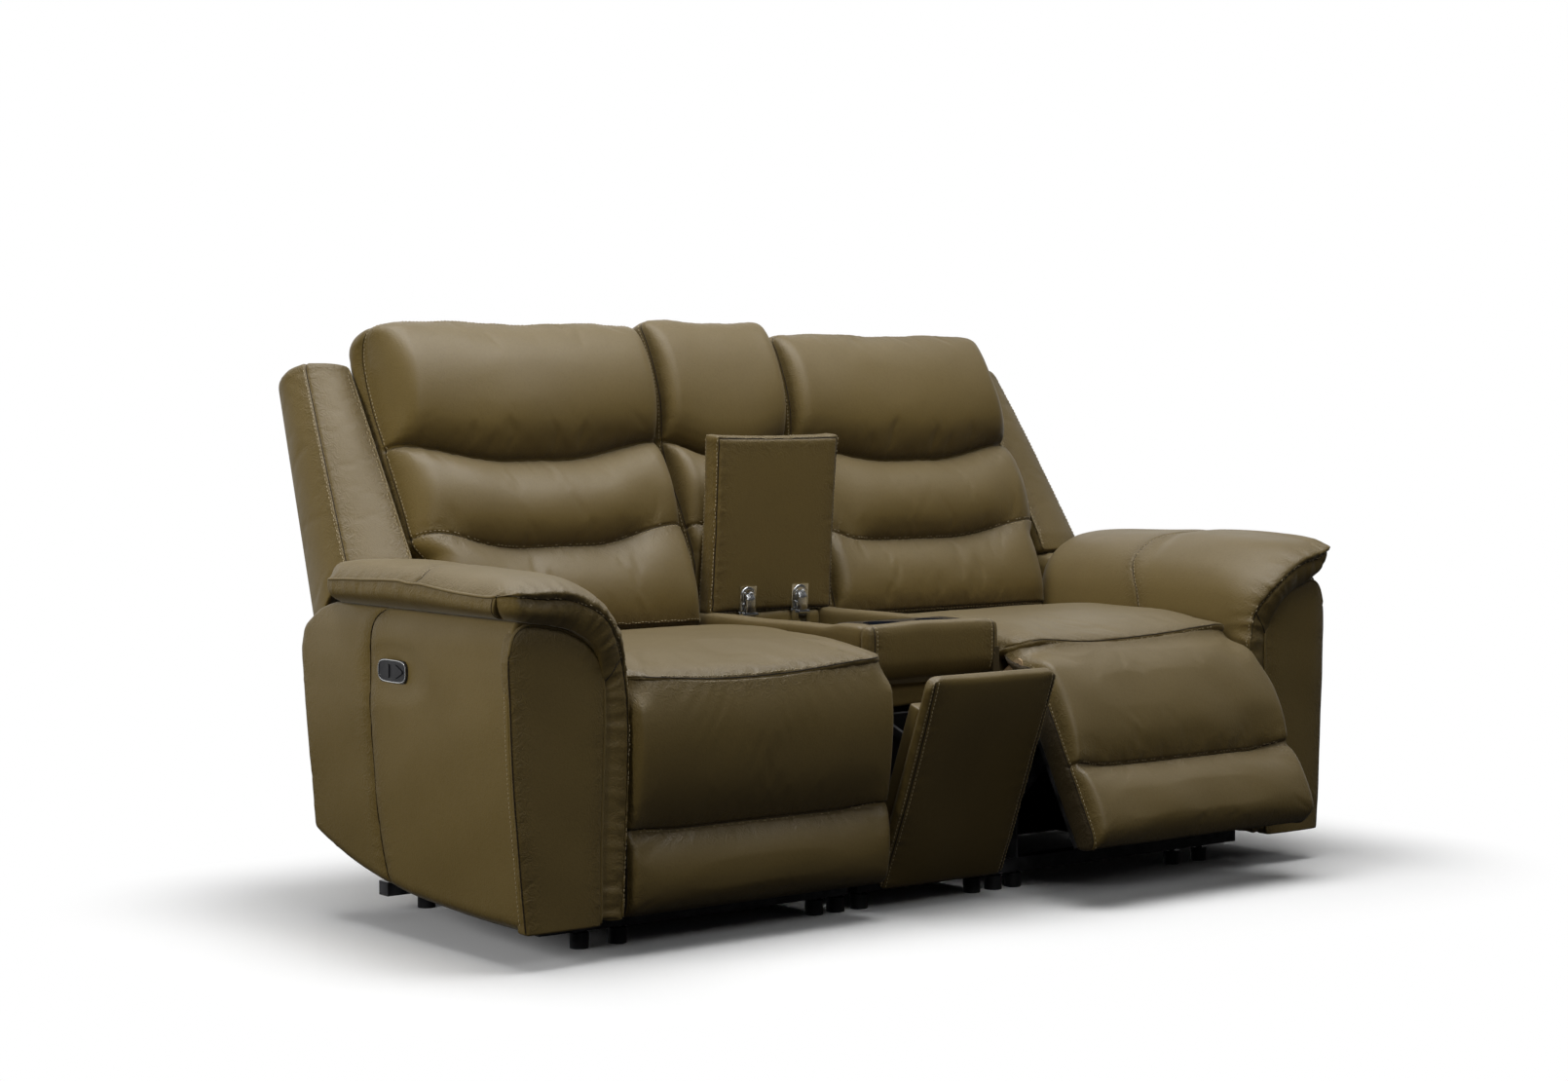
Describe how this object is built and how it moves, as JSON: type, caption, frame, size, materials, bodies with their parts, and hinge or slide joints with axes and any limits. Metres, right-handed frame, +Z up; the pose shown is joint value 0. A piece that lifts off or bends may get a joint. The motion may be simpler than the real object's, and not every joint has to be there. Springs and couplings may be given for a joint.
{
  "type": "power reclining sofa",
  "caption": "Reclining sofa with padded backs, wings, pillow-top arms, swinging footrests and a console with a storage lid and a tilt-out door.",
  "frame": {"origin": "centre of the footprint at floor level: the middle of the bounding box, at its bottom", "axes": "+X to the right as seen from the front, +Y to the rear, +Z up"},
  "size_m": [1.958, 1.0492, 1.0494],
  "materials": {
    "leather": "smooth matte olive-brown leather with tone-on-tone stitching",
    "lining": "darker leather lining of the storage and the bin",
    "frame_steel": "black powder coat",
    "frame_wood": "plain plywood",
    "chrome": "polished",
    "black_plastic": "fine texture",
    "tray_plastic": "satin blue-black",
    "webbing": "woven elastic",
    "rear_cloth": "plain leather-look cloth"
  },
  "bodies": {
    "base": {"left_base_frame": "frame_steel", "right_base_frame": "frame_steel", "console_base_frame": "frame_steel", "floor_glides": "frame_steel", "left_arm_body": "leather", "right_arm_body": "leather", "left_arm_front": "leather", "right_arm_front": "leather", "left_arm_pad": "leather", "right_arm_pad": "leather", "left_switch_plate": "black_plastic", "right_switch_plate": "black_plastic", "left_seat_deck": "frame_wood", "right_seat_deck": "frame_wood", "seat_webbing": "webbing", "left_seat_cushion": "leather", "right_seat_cushion": "leather", "console_carcass": "frame_wood", "console_top": "leather", "cup_holder": "tray_plastic", "center_back_frame": "frame_wood", "center_back_panel": "rear_cloth", "center_back_cushion": "leather", "lid_hinge_bases": "chrome", "rear_base_panel": "rear_cloth", "power_supply": "black_plastic", "left_mechanism_plates": "frame_steel", "right_mechanism_plates": "frame_steel", "actuator_rails": "frame_steel", "actuator_motors": "black_plastic"},
    "left_footrest": {"left_footrest_board": "frame_wood", "left_footrest_pad": "leather"},
    "left_drive": {"left_drive_link": "frame_steel"},
    "left_coupler": {"left_coupler_links": "frame_steel"},
    "left_yoke": {"left_carriage": "frame_steel"},
    "left_screw": {"left_lead_screw": "chrome"},
    "left_back": {"left_back_frame": "frame_wood", "left_back_panel": "rear_cloth", "left_back_cushion": "leather", "left_wing": "leather"},
    "left_recline": {"left_recline_button": "chrome"},
    "left_return": {"left_return_button": "chrome"},
    "right_footrest": {"right_footrest_board": "frame_wood", "right_footrest_pad": "leather"},
    "right_drive": {"right_drive_link": "frame_steel"},
    "right_coupler": {"right_coupler_links": "frame_steel"},
    "right_yoke": {"right_carriage": "frame_steel"},
    "right_screw": {"right_lead_screw": "chrome"},
    "right_back": {"right_back_frame": "frame_wood", "right_back_panel": "rear_cloth", "right_back_cushion": "leather", "right_wing": "leather"},
    "right_recline": {"right_recline_button": "chrome"},
    "right_return": {"right_return_button": "chrome"},
    "console_lid": {"lid_board": "frame_wood", "lid_pad": "leather", "lid_hinge_leaves": "chrome"},
    "console_door": {"door_panel": "leather", "door_bin": "lining"}
  },
  "joints": [
    {"name": "left_footrest_hinge", "type": "hinge", "parent": "base", "child": "left_footrest", "pos_m": [-0.4475, -0.32084, 0.42], "axis": [-1, 0, 0], "range_deg": [0, 85]},
    {"name": "left_drive_pivot", "type": "hinge", "parent": "base", "child": "left_drive", "pos_m": [-0.4475, -0.19584, 0.29], "axis": [-1, 0, 0], "range_deg": [-1, 86]},
    {"name": "left_coupler_pivot", "type": "hinge", "parent": "left_drive", "child": "left_coupler", "pos_m": [-0.4475, -0.14584, 0.1507], "axis": [-1, 0, 0], "range_deg": [-86, 1]},
    {"name": "left_carriage_slide", "type": "slide", "parent": "base", "child": "left_yoke", "axis": [0, -1, 0], "range_m": [-0.001, 0.12487]},
    {"name": "left_screw_turn", "type": "hinge", "parent": "base", "child": "left_screw", "pos_m": [-0.4475, -0.07084, 0.168], "axis": [0, -1, 0], "range_deg": [-5, 2234.7]},
    {"name": "left_back_hinge", "type": "hinge", "parent": "base", "child": "left_back", "pos_m": [-0.4475, 0.22916, 0.43], "axis": [-1, 0, 0], "range_deg": [0, 35]},
    {"name": "left_recline_press", "type": "slide", "parent": "base", "child": "left_recline", "axis": [1, 0, 0], "range_m": [0, 0.0015], "stiffness_N_per_m": 1200},
    {"name": "left_return_press", "type": "slide", "parent": "base", "child": "left_return", "axis": [1, 0, 0], "range_m": [0, 0.0015], "stiffness_N_per_m": 1200},
    {"name": "right_footrest_hinge", "type": "hinge", "parent": "base", "child": "right_footrest", "pos_m": [0.4475, -0.32084, 0.42], "axis": [-1, 0, 0], "range_deg": [-28, 57]},
    {"name": "right_drive_pivot", "type": "hinge", "parent": "base", "child": "right_drive", "pos_m": [0.4475, -0.19584, 0.29], "axis": [-1, 0, 0], "range_deg": [-29, 58]},
    {"name": "right_coupler_pivot", "type": "hinge", "parent": "right_drive", "child": "right_coupler", "pos_m": [0.4475, -0.21709, 0.14353], "axis": [-1, 0, 0], "range_deg": [-58, 29]},
    {"name": "right_carriage_slide", "type": "slide", "parent": "base", "child": "right_yoke", "axis": [0, -1, 0], "range_m": [-0.04181, 0.08407]},
    {"name": "right_screw_turn", "type": "hinge", "parent": "base", "child": "right_screw", "pos_m": [0.4475, -0.07084, 0.168], "axis": [0, -1, 0], "range_deg": [-739.5, 1500.2]},
    {"name": "right_back_hinge", "type": "hinge", "parent": "base", "child": "right_back", "pos_m": [0.4475, 0.22916, 0.43], "axis": [-1, 0, 0], "range_deg": [0, 35]},
    {"name": "right_recline_press", "type": "slide", "parent": "base", "child": "right_recline", "axis": [-1, 0, 0], "range_m": [0, 0.0015], "stiffness_N_per_m": 1200},
    {"name": "right_return_press", "type": "slide", "parent": "base", "child": "right_return", "axis": [-1, 0, 0], "range_m": [0, 0.0015], "stiffness_N_per_m": 1200},
    {"name": "console_lid_hinge", "type": "hinge", "parent": "base", "child": "console_lid", "pos_m": [0, 0.17316, 0.495], "axis": [-1, 0, 0], "range_deg": [-86, 0]},
    {"name": "console_door_hinge", "type": "hinge", "parent": "base", "child": "console_door", "pos_m": [0, -0.27284, 0.066], "axis": [1, 0, 0], "range_deg": [-21, 0]}
  ],
  "couplings": [
    {"joint": "left_drive_pivot", "follows": "left_footrest_hinge", "ratio": 1},
    {"joint": "left_coupler_pivot", "follows": "left_footrest_hinge", "ratio": -1},
    {"joint": "left_carriage_slide", "follows": "left_footrest_hinge", "m_per_rad": 0.0835},
    {"joint": "left_screw_turn", "follows": "left_footrest_hinge", "ratio": 26.232},
    {"joint": "right_drive_pivot", "follows": "right_footrest_hinge", "ratio": 1},
    {"joint": "right_coupler_pivot", "follows": "right_footrest_hinge", "ratio": -1},
    {"joint": "right_carriage_slide", "follows": "right_footrest_hinge", "m_per_rad": 0.0835},
    {"joint": "right_screw_turn", "follows": "right_footrest_hinge", "ratio": 26.232}
  ]
}
